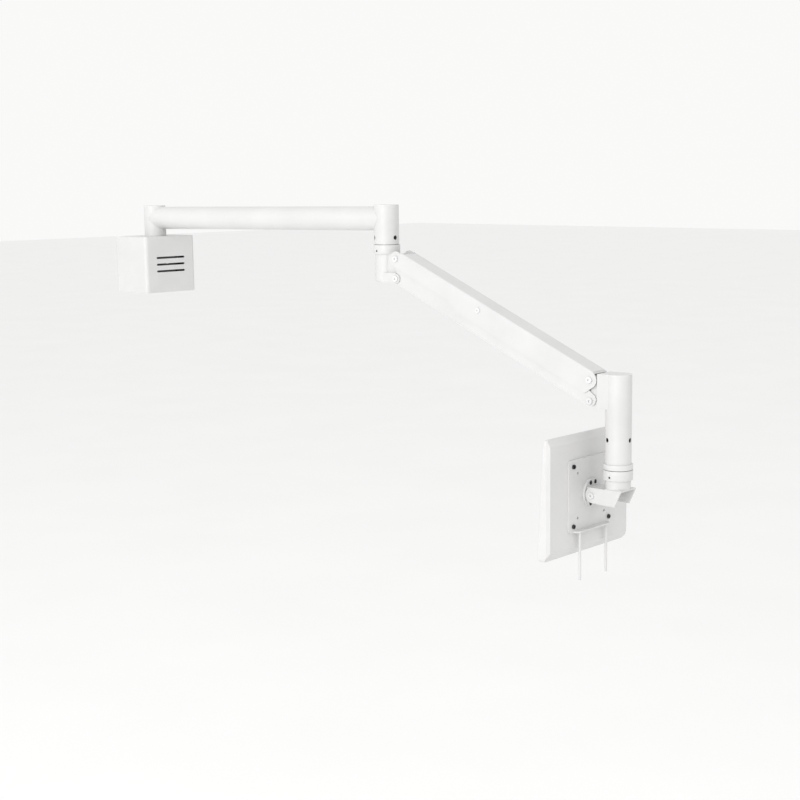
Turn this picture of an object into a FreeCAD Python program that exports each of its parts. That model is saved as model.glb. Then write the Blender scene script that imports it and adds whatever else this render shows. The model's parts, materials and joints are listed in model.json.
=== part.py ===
import FreeCAD
import Part
import Sketcher
import os
import re

# Wall-mounted jointed arm that carries a small clinical display, in millimetres.
# The wall is the plane Y = 0, the box stands out towards -Y, +Z is up and the
# origin is the middle of the wall plate's back face. Every joint angle below is
# the rest pose; each group of pieces is drawn in a frame of its own and placed
# by the frames at the end of the dimensions.

os.makedirs("parts", exist_ok=True)
doc = FreeCAD.newDocument("display_arm")
sheet = doc.addObject("Spreadsheet::Sheet", "Dim")

DIMENSIONS = {
    # clearances
    "slip": 0.05,            # radial, running fit of a shaft in a bush
    "gap": 0.3,              # between faces of different moving bodies
    "ring_gap": 0.8,         # seam above a collar ring, where one tube turns on another
    "seat_gap": 0.5,         # loose fit of a cover round what it covers
    # wall box
    "box_width": 116,
    "box_depth": 96,
    "box_height": 108,
    "box_wall": 2,
    "box_corner": 7,
    "post_clear": 1,
    "screw_clear": 0.2,
    "plate_thick": 4,
    "anchor_dia": 6.5,
    "anchor_span_x": 88,
    "anchor_span_z": 84,
    "entry_dia": 18,
    "entry_x": -43,
    "entry_z": -16,
    "grommet_wall": 3,
    "grommet_rim": 2,
    "grommet_lip": 1.5,
    "slot_length": 66,
    "slot_width": 4,
    "slot_pitch": 13,
    "tab_width": 12,
    "tab_height": 8,
    "tab_reach": 18,
    "tab_x": 22,
    "small_screw_dia": 4,
    "small_head_dia": 7.5,
    "small_head_thick": 2.4,
    "hex_key": 3,
    "large_hex_key": 4,
    "stub_hex_key": 6,
    # post and its housing
    "post_offset": 48,
    "post_dia": 42,
    "tube_wall": 3,
    "post_depth": 85,
    "post_top": 24,
    "boom_rise": 35,
    "housing_width": 62,
    "housing_top_gap": 6,
    "housing_front": 9,
    "housing_floor": 6,
    "bush_wall": 3,
    "bush_length": 16,
    "bush_flange": 2.5,
    "flange_rim": 3,
    "thrust_thick": 3,
    "groove_width": 7,
    "groove_depth": 1.5,
    "groove_rise": 36,
    "retainer_dia": 6,
    "housing_screw_x": 22,
    "housing_screw_z": 28,
    "housing_screw_dia": 6,
    "housing_screw_head": 10,
    "housing_screw_head_thick": 3,
    "housing_screw_grip": 12,
    "supply_width": 20,
    "supply_depth": 66,
    "supply_height": 58,
    "supply_gap": 2,
    "supply_corner": 2,
    # boom and elbow
    "boom_heading": 17,
    "boom_length": 522,
    "boom_dia": 43,
    "sleeve_dia": 45,
    "sleeve_top": 24.5,
    "sleeve_bottom": 46,
    "cap_thick": 2.5,
    "cap_plug": 6,
    "cap_notch": 3,
    "swivel_dia": 28,
    "elbow_bush": 38,
    "elbow_key_rise": 12,
    "swivel_thread": 18,
    "swivel_thread_length": 14,
    "swivel_bore": 10,
    "swivel_root": 24,
    "ring_screw_dia": 4,
    "elbow_ring_turn": -99,
    "nut_flange": 2,
    "nut_rim": 4,
    "nut_thick": 9,
    "nut_width": 26,
    "ring_dia": 48.6,
    "ring_height": 16,
    "key_screw_dia": 8,
    "key_screw_sink": 1,
    "key_socket_dia": 4,
    "key_socket_depth": 2,
    "elbow_key_turn": -17,
    # knuckle and spring arm
    "arm_heading": 6,
    "arm_drop": 24.5,
    "arm_length": 448,
    "pivot_spacing": 35,
    "elbow_offset": 37,
    "elbow_drop": 71,
    "knuckle_dia": 43,
    "knuckle_depth": 50,
    "knuckle_rim": 3,
    "link_room": 1,
    "fork_web": 2,
    "tongue_width": 30,
    "tongue_radius": 8.5,
    "washer_inset": 1,
    "cheek_thick": 2.5,
    "cheek_height": 10,
    "pin_dia": 8,
    "pin_head_dia": 10.8,
    "pin_head_thick": 3,
    "cover_width": 40,
    "cover_wall": 2,
    "cover_top": 15,
    "cover_bend": 3,
    "cover_end_radius": 13.5,
    "cover_mouth": 12,
    "cover_tail": 2,
    "nose_inset": 3,
    "nose_rise": 2,
    "nose_lean": 0.5,
    "nose_chin": 1,
    "skirt_ease": 8,
    "skirt_round": 2,
    "cover_skirt_near": 14.7,
    "cover_skirt_far": 24,
    "cover_step_start": 134,
    "cover_step_end": 168,
    "link_bottom": 9,
    "link_end_radius": 9.5,
    "link_tail": 10,
    "link_high": 20,
    "link_heel": 6,
    "link_low": 15.5,
    "link_mouth_near": 12,
    "link_mouth_far": 14,
    "link_step_start": 188,
    "link_step_end": 198,
    "link_nose": 3,
    "link_bevel": 2,
    "link_crown": 4,
    "spring_anchor": 18,
    "spring_reach": 200,
    "spring_dia": 18,
    "spring_rod_dia": 8,
    "spring_pin_dia": 7,
    "spring_eye_dia": 20,
    "spring_eye_play": 3,
    "spring_eye_width": 12,
    "spring_cylinder": 110,
    "spring_neck": 20,
    "spring_end": 10,
    "spring_head_dia": 9.5,
    "spring_rod_inset": 40,
    "spring_anchor_eye": 14,
    # column
    "column_offset": 44,
    "column_dia": 43,
    "column_top": 11,
    "column_length": 156,
    "column_flange": 9,
    "bracket_bar": 15,
    "tongue_fall": 6,        # slope of the tongue's top, under the swinging cover end
    "bracket_top": 11,
    "bracket_bottom": 46,
    "column_bush": 62,
    "column_key_rise": 49,
    "column_key_turn": 3,
    "head_ring_turn": 88,
    "stub_length": 15,
    "stub_dia": 42,
    "stub_screw_head": 14,
    "stub_screw_head_thick": 4,
    # yoke and tilt joint
    "head_turn": 177.5,
    "yoke_width": 45,
    "yoke_wall": 3,
    "yoke_reach": 36,
    "tilt_drop": 14,
    "yoke_end_radius": 12.8,
    "yoke_front_top": 21,
    "yoke_front_bottom": 8,
    "yoke_top_end": 11,
    "yoke_step": 1.2,
    "tilt_bolt_dia": 6,
    "tilt_head_dia": 9.5,
    "tilt_head_thick": 4,
    "friction_thick": 1.2,
    "friction_dia": 22,
    "block_radius": 12,
    "spindle_dia": 18,
    "keeper_dia": 5,
    "keeper_depth": 10,
    "keeper_head_dia": 8,
    "keeper_head_thick": 1.1,
    "spindle_washer_thick": 1.5,
    "window_play": 2,
    "flange_offset": 13.2,
    "flange_dia": 48,
    "flange_thick": 4,
    "flange_screw_x": 6.5,
    "flange_screw_z": 17.5,
    # mounting plate and rods
    "vesa_pitch": 100,
    "vesa_small_pitch": 75,
    "vesa_hole_dia": 4.5,
    "mount_width": 124,
    "mount_height": 122,
    "mount_thick": 3,
    "mount_corner": 8,
    "mount_window": 30,
    "lip_depth": 9,
    "lip_base": 98,
    "lip_front": 84,
    "rod_dia": 4.5,
    "rod_spacing": 75,
    "rod_length": 84,
    "rod_stand_off": 4.5,
    # display
    "display_width": 228,
    "display_height": 202,
    "display_lift": 0.5,
    "display_corner": 6,
    "back_top_bevel": 12,
    "back_bottom_bevel": 15,
    "back_side_bevel": 5,
    "side_bevel_depth": 5,
    "top_rim_start": 4,
    "bottom_rim_start": 10,
    "front_top": 9.5,
    "front_bottom": 21,
    "bezel_thick": 3.5,
    "shell_wall": 2,
    "bevel_wall": 1,
    "top_rim_wall": 0.5,
    "bottom_rim_wall": 1.2,
    "screw_tip_gap": 0.5,
    "bezel_margin": 9,
    "chin_margin": 32,
    "top_margin": 13,
    "glass_thick": 3,
    "glass_play": 0.1,
    "panel_lap": 3,
    "panel_side_lap": 2,
    "panel_thick": 3.5,
    "board_thick": 1.6,
    "board_width": 120,
    "board_height": 60,
    "board_drop": 55,
    "boss_height": 2,
    "boss_dia": 9,
    "button_dia": 8,
    "button_reach": 90,
    "button_proud": 1.2,
    "button_rim": 1.5,
    "button_inset": 2,
    "button_skirt": 1,
}

for row, (alias, value) in enumerate(DIMENSIONS.items(), start=1):
    sheet.set(f"A{row}", alias)
    sheet.set(f"B{row}", str(value))
    sheet.setAlias(f"B{row}", alias)
doc.recompute()

ALIAS = re.compile(r"\b(" + "|".join(sorted(DIMENSIONS, key=len, reverse=True)) + r")\b")


def cell(text):
    """Expression on the sheet: every alias in the text becomes Dim.alias."""
    return ALIAS.sub(r"Dim.\1", str(text))


def size(text):
    """The number that an expression on the sheet gives."""
    result = sheet.evalExpression(cell(text))
    return float(getattr(result, "Value", result))


def bind(target, path, text):
    target.setExpression(path, cell(text))


# ---- primitives and booleans -------------------------------------------------

TURNS = {
    "z": FreeCAD.Rotation(),
    "x": FreeCAD.Rotation(FreeCAD.Vector(0, 1, 0), 90),
    "y": FreeCAD.Rotation(FreeCAD.Vector(1, 0, 0), -90),
}


def locate(shape, at, turn):
    shape.Placement = FreeCAD.Placement(FreeCAD.Vector(), turn)
    for axis, text in zip("xyz", at):
        bind(shape, f"Placement.Base.{axis}", text)


def drum(radius, length, at=("0", "0", "0"), axis="z"):
    """Cylinder that starts at a point and runs along +x, +y or +z."""
    shape = doc.addObject("Part::Cylinder", "drum")
    bind(shape, "Radius", radius)
    bind(shape, "Height", length)
    locate(shape, at, TURNS[axis])
    return shape


def block(extent, at):
    """Box that starts at its lowest corner."""
    shape = doc.addObject("Part::Box", "block")
    for path, text in zip(("Length", "Width", "Height"), extent):
        bind(shape, path, text)
    locate(shape, at, TURNS["z"])
    return shape


def cone(radius_start, radius_end, length, at, axis="z"):
    shape = doc.addObject("Part::Cone", "cone")
    bind(shape, "Radius1", radius_start)
    bind(shape, "Radius2", radius_end)
    bind(shape, "Height", length)
    locate(shape, at, TURNS[axis])
    return shape


def hexagon(across, length, at, axis="z"):
    """Hexagonal bar, its size measured across the flats."""
    shape = doc.addObject("Part::Prism", "hexagon")
    shape.Polygon = 6
    bind(shape, "Circumradius", f"({across}) / sqrt(3)")
    bind(shape, "Height", length)
    locate(shape, at, TURNS[axis])
    return shape


def fuse(*shapes):
    joined = doc.addObject("Part::MultiFuse", "fuse")
    joined.Shapes = list(shapes)
    return joined


def cut(base, *tools):
    result = doc.addObject("Part::Cut", "cut")
    result.Base = base
    result.Tool = tools[0] if len(tools) == 1 else fuse(*tools)
    return result


def common(base, tool):
    result = doc.addObject("Part::Common", "common")
    result.Base = base
    result.Tool = tool
    return result


def group(*shapes):
    """Separate solids that share one node."""
    result = doc.addObject("Part::Compound", "group")
    result.Links = list(shapes)
    return result


def rounded(base, radius, axis, keep=lambda middle: True):
    """Fillet on the straight edges that run along one axis."""
    doc.recompute()
    along = {"x": 0, "y": 1, "z": 2}[axis]
    edges = []
    for number, edge in enumerate(base.Shape.Edges, start=1):
        low, high = edge.BoundBox.getPoint(0), edge.BoundBox.getPoint(6)
        spans = [abs(high[i] - low[i]) for i in range(3)]
        straight = isinstance(edge.Curve, Part.Line)
        if straight and spans[along] > 0.5 and sum(spans) - spans[along] < 1e-6:
            if keep(edge.CenterOfMass):
                edges.append(number)
    fillet = doc.addObject("Part::Fillet", "rounded")
    fillet.Base = base
    width = size(radius)
    fillet.Edges = [(number, width, width) for number in edges]
    return fillet


def tube(outer_dia, wall, length, at=("0", "0", "0"), axis="z"):
    inner = drum(f"({outer_dia}) / 2 - ({wall})", length, at, axis)
    return cut(drum(f"({outer_dia}) / 2", length, at, axis), inner)


def ring(outer_dia, bore_dia, length, at=("0", "0", "0"), axis="z"):
    return tube(outer_dia, f"(({outer_dia}) - ({bore_dia})) / 2", length, at, axis)


def radial(radius, start, length, height, turn):
    """Cylinder that runs outwards from the z axis at a height and an angle."""
    shape = doc.addObject("Part::Cylinder", "radial")
    bind(shape, "Radius", radius)
    bind(shape, "Height", length)
    heading = FreeCAD.Rotation(FreeCAD.Vector(0, 0, 1), size(turn))
    at = (f"({start}) * cos({turn})", f"({start}) * sin({turn})", height)
    locate(shape, at, heading.multiply(TURNS["x"]))
    return shape


def profile(points, width, plane="XZ_Plane", at=("0", "0", "0")):
    """Body padded both ways from a plane; its outline is a list of corners."""
    body = doc.addObject("PartDesign::Body", "profile")
    base = [f for f in body.Origin.OriginFeatures if f.Role == plane][0]
    sketch = body.newObject("Sketcher::SketchObject", "outline")
    sketch.AttachmentSupport = [(base, "")]
    sketch.MapMode = "FlatFace"
    corners = [FreeCAD.Vector(size(x), size(y), 0) for x, y in points]
    count = len(corners)
    for index in range(count):
        sketch.addGeometry(Part.LineSegment(corners[index], corners[(index + 1) % count]), False)
    for index in range(count):
        meet = Sketcher.Constraint("Coincident", index, 2, (index + 1) % count, 1)
        sketch.addConstraint(meet)
    for index, corner in enumerate(points):
        for kind, text in zip(("DistanceX", "DistanceY"), corner):
            place = Sketcher.Constraint(kind, -1, 1, index, 1, size(text))
            bind(sketch, f"Constraints[{sketch.addConstraint(place)}]", text)
    pad = body.newObject("PartDesign::Pad", "pad")
    pad.Profile = sketch
    pad.SideType = "Symmetric"
    bind(pad, "Length", width)
    body.Tip = pad
    for axis, text in zip("xyz", at):
        bind(body, f"Placement.Base.{axis}", text)
    return body


def screw(at, axis, sign, dia, length, head_dia, head_thick, key):
    """Socket-head screw; its shank runs from the head's seat along the axis."""
    along = "xyz".index(axis)

    def start(offset, extent):
        point = list(at)
        move = f"({offset})" if sign > 0 else f"(-({offset}) - ({extent}))"
        point[along] = f"({at[along]}) + {move}"
        return point

    socket_depth = f"({head_thick}) * 0.6"
    shank = drum(f"({dia}) / 2", length, start("0", length), axis)
    head = drum(f"({head_dia}) / 2", head_thick, start(f"-({head_thick})", head_thick), axis)
    socket = hexagon(key, socket_depth, start(f"-({head_thick})", socket_depth), axis)
    return cut(fuse(head, shank), socket)


NODES = {}


def node(name, shape, frame):
    """Gives a finished piece its name and its place in the assembly."""
    if shape.TypeId not in ("Part::Cut", "Part::MultiFuse", "Part::Common", "Part::Compound"):
        shape = group(shape)
    shape.Label = name
    shape.Placement = FRAMES[frame]
    NODES[name] = shape


# ---- frames ------------------------------------------------------------------

def shift(x, y, z):
    return FreeCAD.Placement(FreeCAD.Vector(size(x), size(y), size(z)), FreeCAD.Rotation())


def turned(axis, angle):
    direction = {"y": FreeCAD.Vector(0, 1, 0), "z": FreeCAD.Vector(0, 0, 1)}[axis]
    return FreeCAD.Placement(FreeCAD.Vector(), FreeCAD.Rotation(direction, size(angle)))


SPRING_RUN = "spring_reach * cos(arm_drop)"
SPRING_FALL = "(spring_reach * sin(arm_drop) - spring_anchor)"
SPRING_LENGTH = f"sqrt(({SPRING_RUN})^2 + {SPRING_FALL}^2)"
SPRING_DROP = f"atan2({SPRING_FALL}; {SPRING_RUN})"
COLUMN_FOOT = "(column_length - column_top)"
YOKE_TOP = f"-({COLUMN_FOOT} + ring_gap + ring_height + stub_length)"

FRAMES = {"wall": FreeCAD.Placement()}
FRAMES["boom"] = shift("0", "-post_offset", "box_height / 2 + boom_rise").multiply(
    turned("z", "boom_heading - 90"))
FRAMES["elbow"] = FRAMES["boom"].multiply(shift("boom_length", "0", "0")).multiply(
    turned("z", "arm_heading - boom_heading"))
FRAMES["upper"] = FRAMES["elbow"].multiply(shift("elbow_offset", "0", "-elbow_drop")).multiply(
    turned("y", "arm_drop"))
FRAMES["lower"] = FRAMES["elbow"].multiply(
    shift("elbow_offset", "0", "-elbow_drop - pivot_spacing")).multiply(turned("y", "arm_drop"))
FRAMES["spring"] = FRAMES["elbow"].multiply(
    shift("elbow_offset", "0", "-elbow_drop - spring_anchor")).multiply(turned("y", SPRING_DROP))
FRAMES["bracket"] = FRAMES["elbow"].multiply(
    shift("elbow_offset + arm_length * cos(arm_drop)", "0",
          "-elbow_drop - arm_length * sin(arm_drop)"))
FRAMES["column"] = FRAMES["bracket"].multiply(shift("column_offset", "0", "0"))
FRAMES["head"] = FRAMES["column"].multiply(shift("0", "0", YOKE_TOP)).multiply(
    turned("z", "head_turn"))
FRAMES["tilt"] = FRAMES["head"].multiply(shift("yoke_reach", "0", "-tilt_drop"))

# ---- wall box ----------------------------------------------------------------

HOUSING_TOP = "(box_height / 2 - box_wall - housing_top_gap)"
HOUSING_FLOOR = "(box_height / 2 - post_depth - thrust_thick)"
HOUSING_BOTTOM = f"({HOUSING_FLOOR} - housing_floor)"
HOUSING_MIDDLE = f"(({HOUSING_TOP} + {HOUSING_BOTTOM}) / 2)"
HOUSING_BORE = "(post_dia + 2 * bush_wall)"
HOUSING_FRONT = "(post_offset + post_dia / 2 + bush_wall + housing_front)"
COVER_SCREW_Y = "-(tab_reach - tab_width / 2)"

corners = [(f"{sx}anchor_span_x / 2", f"{sz}anchor_span_z / 2") for sx in ("-", "") for sz in ("-", "")]
housing_bolts = [(f"{sx}housing_screw_x", f"{HOUSING_MIDDLE} {sz} housing_screw_z")
                 for sx in ("-", "") for sz in ("-", "+")]
tab_places = ("-tab_x", "tab_x")


def build_wall_plate():
    width = "(box_width - 2 * box_wall - 2 * seat_gap)"
    height = "(box_height - 2 * box_wall - 2 * seat_gap)"
    plate = block((width, "plate_thick", height), (f"-{width} / 2", "-plate_thick", f"-{height} / 2"))
    tabs = [block(("tab_width", "tab_reach", "tab_height"),
                  (f"{x} - tab_width / 2", "-tab_reach", f"-{height} / 2")) for x in tab_places]
    holes = [drum("anchor_dia / 2", "plate_thick", (x, "-plate_thick", z), "y") for x, z in corners]
    holes.append(drum("entry_dia / 2", "plate_thick", ("entry_x", "-plate_thick", "entry_z"), "y"))
    for x, z in housing_bolts:
        holes.append(drum("housing_screw_dia / 2", "plate_thick", (x, "-plate_thick", z), "y"))
        holes.append(drum("housing_screw_head / 2", "housing_screw_head_thick",
                          (x, "-housing_screw_head_thick", z), "y"))
    for x in tab_places:
        holes.append(drum("small_screw_dia / 2", "tab_height", (x, COVER_SCREW_Y, f"-{height} / 2")))
    node("wall_plate", cut(fuse(plate, *tabs), *holes), "wall")


def build_box_shell():
    outer = block(("box_width", "box_depth", "box_height"),
                  ("-box_width / 2", "-box_depth", "-box_height / 2"))
    inner = block(("box_width - 2 * box_wall", "box_depth - box_wall", "box_height - 2 * box_wall"),
                  ("box_wall - box_width / 2", "box_wall - box_depth", "box_wall - box_height / 2"))
    near_front = -size("box_depth") / 2
    outer = rounded(outer, "box_corner", "z", lambda middle: middle.y < near_front)
    inner = rounded(inner, "box_corner - box_wall", "z", lambda middle: middle.y < near_front)
    tools = [inner, drum("post_dia / 2 + post_clear", "box_height", ("0", "-post_offset", "0"))]
    straight = "(slot_length - slot_width)"
    front = "-box_depth - box_wall"
    for row in (-1, 0, 1):
        height = f"{row} * slot_pitch"
        tools.append(block((straight, "3 * box_wall", "slot_width"),
                           (f"-{straight} / 2", front, f"{height} - slot_width / 2")))
        for end in ("-", ""):
            tools.append(drum("slot_width / 2", "3 * box_wall", (f"{end}{straight} / 2", front, height), "y"))
    for x in tab_places:
        tools.append(drum("small_screw_dia / 2 + screw_clear", "2 * box_wall",
                          (x, COVER_SCREW_Y, "-box_height / 2 - box_wall")))
    node("box_shell", cut(outer, *tools), "wall")


def build_box_fasteners():
    covers = [screw((x, COVER_SCREW_Y, "-box_height / 2"), "z", 1, "small_screw_dia",
                    "box_wall + seat_gap + tab_height", "small_head_dia", "small_head_thick", "hex_key")
              for x in tab_places]
    node("cover_screws", group(*covers), "wall")
    bolts = [screw((x, "-housing_screw_head_thick", z), "y", -1, "housing_screw_dia",
                   "housing_screw_grip", "housing_screw_head", "housing_screw_head_thick", "large_hex_key")
             for x, z in housing_bolts]
    node("housing_screws", group(*bolts), "wall")
    reach = f"({HOUSING_FRONT} - post_offset - post_dia / 2 + groove_depth - gap)"
    retainer = screw(("0", f"-{HOUSING_FRONT}", "box_height / 2 - post_depth + groove_rise"), "y", 1,
                     "retainer_dia", reach, "housing_screw_head", "housing_screw_head_thick", "large_hex_key")
    node("retaining_screw", retainer, "wall")


def build_housing():
    depth = f"({HOUSING_FRONT} - plate_thick)"
    body = block(("housing_width", depth, f"{HOUSING_TOP} - {HOUSING_BOTTOM}"),
                 ("-housing_width / 2", f"-{HOUSING_FRONT}", HOUSING_BOTTOM))
    middle_y = -size(HOUSING_FRONT) / 2
    body = rounded(body, "housing_front + bush_wall", "z", lambda middle: middle.y < middle_y)
    tools = [drum(f"{HOUSING_BORE} / 2", "box_height", ("0", "-post_offset", HOUSING_FLOOR))]
    for x, z in housing_bolts:
        tools.append(drum("housing_screw_dia / 2", "housing_screw_grip",
                          (x, "-housing_screw_head_thick - housing_screw_grip", z), "y"))
    tools.append(drum("retainer_dia / 2", "housing_front + bush_wall",
                      ("0", f"-{HOUSING_FRONT}", "box_height / 2 - post_depth + groove_rise"), "y"))
    node("post_housing", cut(body, *tools), "wall")


def build_post_bushes():
    bore = "(post_dia + 2 * slip)"
    axis = ("0", "-post_offset")
    sleeve = ring(HOUSING_BORE, bore, "bush_length", axis + (f"{HOUSING_TOP} - bush_length",))
    flange = ring(f"({HOUSING_BORE} + 2 * flange_rim)", bore, "bush_flange", axis + (HOUSING_TOP,))
    node("upper_post_bush", fuse(sleeve, flange), "wall")
    lower = ring(HOUSING_BORE, bore, "bush_length", axis + (f"{HOUSING_FLOOR} + thrust_thick",))
    node("lower_post_bush", lower, "wall")
    washer = ring(HOUSING_BORE, "post_dia / 2", "thrust_thick - slip", axis + (HOUSING_FLOOR,))
    node("thrust_washer", washer, "wall")


def build_box_electrics():
    supply = block(("supply_width", "supply_depth", "supply_height"),
                   ("housing_width / 2 + supply_gap", "-plate_thick - supply_depth", "-supply_height / 2"))
    node("power_supply", group(rounded(supply, "supply_corner", "y")), "wall")
    bore = "entry_dia - 2 * grommet_wall"
    bush = ring("entry_dia", bore, "plate_thick", ("entry_x", "-plate_thick", "entry_z"), "y")
    lip = ring("entry_dia + 2 * grommet_rim", bore, "grommet_lip",
               ("entry_x", "-plate_thick - grommet_lip", "entry_z"), "y")
    node("entry_grommet", fuse(bush, lip), "wall")


# ---- post, boom and elbow sleeve ---------------------------------------------

def build_cap(name, tube_dia, top, frame):
    """Flat cap with a plug inside the tube and a small prising notch in its rim."""
    disc = drum(f"{tube_dia} / 2", "cap_thick", ("0", "0", f"{top} - cap_thick"))
    plug = drum(f"{tube_dia} / 2 - tube_wall", "cap_plug", ("0", "0", f"{top} - cap_thick - cap_plug"))
    notch = drum("cap_notch / 2", "cap_thick", (f"{tube_dia} / 2", "0", f"{top} - cap_thick"))
    node(name, cut(fuse(disc, plug), notch), frame)


def build_post():
    foot = "-(boom_rise + post_depth)"
    length = "post_top - cap_thick + boom_rise + post_depth"
    groove = ring("(post_dia + 2)", "(post_dia - 2 * groove_depth)", "groove_width",
                  ("0", "0", f"{foot} + groove_rise - groove_width / 2"))
    window = drum("boom_dia / 2 - 2 * tube_wall", "post_dia", axis="x")
    node("post", cut(tube("post_dia", "tube_wall", length, ("0", "0", foot)), groove, window), "boom")
    build_cap("post_cap", "post_dia", "post_top", "boom")


def build_boom():
    outer = drum("boom_dia / 2", "boom_length", axis="x")
    inner = drum("boom_dia / 2 - tube_wall", "boom_length", axis="x")
    saddles = [drum("post_dia / 2", "2 * boom_dia", ("0", "0", "-boom_dia")),
               drum("sleeve_dia / 2", "2 * boom_dia", ("boom_length", "0", "-boom_dia"))]
    node("boom_tube", cut(outer, inner, *saddles), "boom")


def key_places(count, turn):
    return [f"({turn} + {index} * 360 / {count})" for index in range(count)]


def build_swivel(name, frame, outer_dia, foot, bush_length, key_rise, key_turn):
    """Plastic bush in a tube's foot, held by three radial screws; returns their holes."""
    bore = f"({outer_dia} - 2 * tube_wall)"
    height = f"{foot} + {key_rise}"
    root = "swivel_dia / 2 + tube_wall"
    holes = [radial("key_screw_dia / 2", root, outer_dia, height, turn) for turn in key_places(3, key_turn)]
    bush = ring(bore, "(swivel_dia + 2 * slip)", bush_length, ("0", "0", foot))
    node(f"{name}_bush", cut(bush, *holes), frame)
    length = f"({outer_dia} / 2 - key_screw_sink - swivel_dia / 2 - tube_wall)"
    keys = []
    for turn in key_places(3, key_turn):
        body = radial("key_screw_dia / 2", root, length, height, turn)
        socket = radial("key_socket_dia / 2", f"{outer_dia} / 2 - key_screw_sink - key_socket_depth",
                        "2 * key_socket_depth", height, turn)
        keys.append(cut(body, socket))
    node(f"{name}_key_screws", group(*keys), frame)
    return holes


def build_elbow_sleeve():
    foot = "-sleeve_bottom"
    FRAMES["sleeve"] = FRAMES["boom"].multiply(shift("boom_length", "0", "0"))
    holes = build_swivel("elbow", "sleeve", "sleeve_dia", foot, "elbow_bush", "elbow_key_rise",
                         "elbow_key_turn")
    body = tube("sleeve_dia", "tube_wall", "sleeve_bottom + sleeve_top - cap_thick", ("0", "0", foot))
    window = drum("boom_dia / 2 - 2 * tube_wall", "sleeve_dia", ("-sleeve_dia", "0", "0"), "x")
    node("elbow_sleeve", cut(body, window, *holes), "sleeve")
    build_cap("elbow_cap", "sleeve_dia", "sleeve_top", "sleeve")


def build_shaft(name, frame, foot, bush_length, root, ring_turn):
    """Shaft in a swivel bush with its flanged nut, collar ring and ring screw."""
    shoulder = f"({foot} + {bush_length} + slip)"
    ring_foot = f"({foot} - ring_gap - ring_height)"
    bottom = f"({ring_foot} - {root})"
    journal = drum("swivel_dia / 2", f"{shoulder} - {bottom}", ("0", "0", bottom))
    thread = drum("swivel_thread / 2", "swivel_thread_length", ("0", "0", shoulder))
    bore = drum("swivel_bore / 2", f"{shoulder} + swivel_thread_length - {bottom}", ("0", "0", bottom))
    pieces = [journal, thread]
    if name == "head":
        pieces.append(drum("stub_dia / 2", "stub_length", ("0", "0", bottom)))
    node(f"{name}_shaft", cut(fuse(*pieces), bore), frame)
    flange = drum("swivel_dia / 2 + nut_rim", "nut_flange", ("0", "0", shoulder))
    nut = hexagon("nut_width", "nut_thick", ("0", "0", f"{shoulder} + nut_flange"))
    thread_hole = drum("swivel_thread / 2", "nut_flange + nut_thick", ("0", "0", shoulder))
    node(f"{name}_nut", cut(fuse(flange, nut), thread_hole), frame)
    screw_height = f"({ring_foot} + ring_height / 3)"
    hole = radial("ring_screw_dia / 2", "swivel_dia / 2", "ring_dia", screw_height, ring_turn)
    collar = ring("ring_dia", "swivel_dia", "ring_height", ("0", "0", ring_foot))
    node(f"{name}_ring", cut(collar, hole), frame)
    length = "(ring_dia / 2 - swivel_dia / 2 - key_screw_sink)"
    key = radial("ring_screw_dia / 2", "swivel_dia / 2", length, screw_height, ring_turn)
    socket = radial("ring_screw_dia / 4", "ring_dia / 2 - 2 * key_screw_sink", "2 * key_screw_sink",
                    screw_height, ring_turn)
    node(f"{name}_ring_screw", cut(key, socket), frame)


# ---- knuckle -----------------------------------------------------------------

KNUCKLE_TOP = "-(sleeve_bottom + ring_gap + ring_height)"
KNUCKLE_BOTTOM = f"({KNUCKLE_TOP} - knuckle_depth)"
LINK_WIDTH = "(cover_width - 2 * cover_wall - 2 * seat_gap)"
CHEEK_INNER = f"({LINK_WIDTH} / 2 + seat_gap)"
CHEEK_OUTER = f"({CHEEK_INNER} + cheek_thick)"
LOWER_PIVOT = "(elbow_drop + pivot_spacing)"


def build_knuckle():
    hub = drum("knuckle_dia / 2", "knuckle_depth", ("0", "0", KNUCKLE_BOTTOM))
    hub = rounded_rim(hub, "knuckle_rim")
    nose = "(elbow_offset + tongue_radius)"
    tongue = profile([("0", KNUCKLE_TOP), ("elbow_offset", KNUCKLE_TOP), (nose, "-elbow_drop"),
                      (nose, f"-{LOWER_PIVOT}"), ("elbow_offset", KNUCKLE_BOTTOM), ("0", KNUCKLE_BOTTOM)],
                     "tongue_width")
    lower_eye = drum("tongue_radius", "tongue_width",
                     ("elbow_offset", "-tongue_width / 2", f"-{LOWER_PIVOT}"), "y")
    cheek_rise = f"-{LOWER_PIVOT} + cheek_height - {KNUCKLE_BOTTOM}"
    cheek = block(("elbow_offset", f"2 * {CHEEK_OUTER}", cheek_rise),
                  ("0", f"-{CHEEK_OUTER}", KNUCKLE_BOTTOM))
    cheek_eye = drum("tongue_radius", f"2 * {CHEEK_OUTER}",
                     ("elbow_offset", f"-{CHEEK_OUTER}", f"-{LOWER_PIVOT}"), "y")
    room = "(elbow_offset - link_end_radius - link_room)"
    slots = [block(("elbow_offset", f"{CHEEK_INNER} - tongue_width / 2", "elbow_drop"),
                   (room, y, f"{KNUCKLE_BOTTOM} - cheek_height"))
             for y in (f"-{CHEEK_INNER}", "tongue_width / 2")]
    fork = block(("elbow_offset", "spring_eye_width + 2 * seat_gap", "knuckle_depth"),
                 ("knuckle_dia / 2 + fork_web", "-(spring_eye_width + 2 * seat_gap) / 2", KNUCKLE_BOTTOM))
    anchor_height = "-(elbow_drop + spring_anchor)"
    bores = [drum("pin_dia / 2", "2 * cover_width", ("elbow_offset", "-cover_width", z), "y")
             for z in ("-elbow_drop", f"-{LOWER_PIVOT}")]
    bores.append(drum("spring_pin_dia / 2", "2 * cover_width",
                      ("elbow_offset", "-cover_width", anchor_height), "y"))
    socket = drum("swivel_dia / 2", "swivel_root", ("0", "0", f"{KNUCKLE_TOP} - swivel_root"))
    shape = cut(fuse(hub, tongue, lower_eye, cheek, cheek_eye), *slots, fork, *bores, socket)
    node("knuckle", shape, "elbow")


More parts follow.
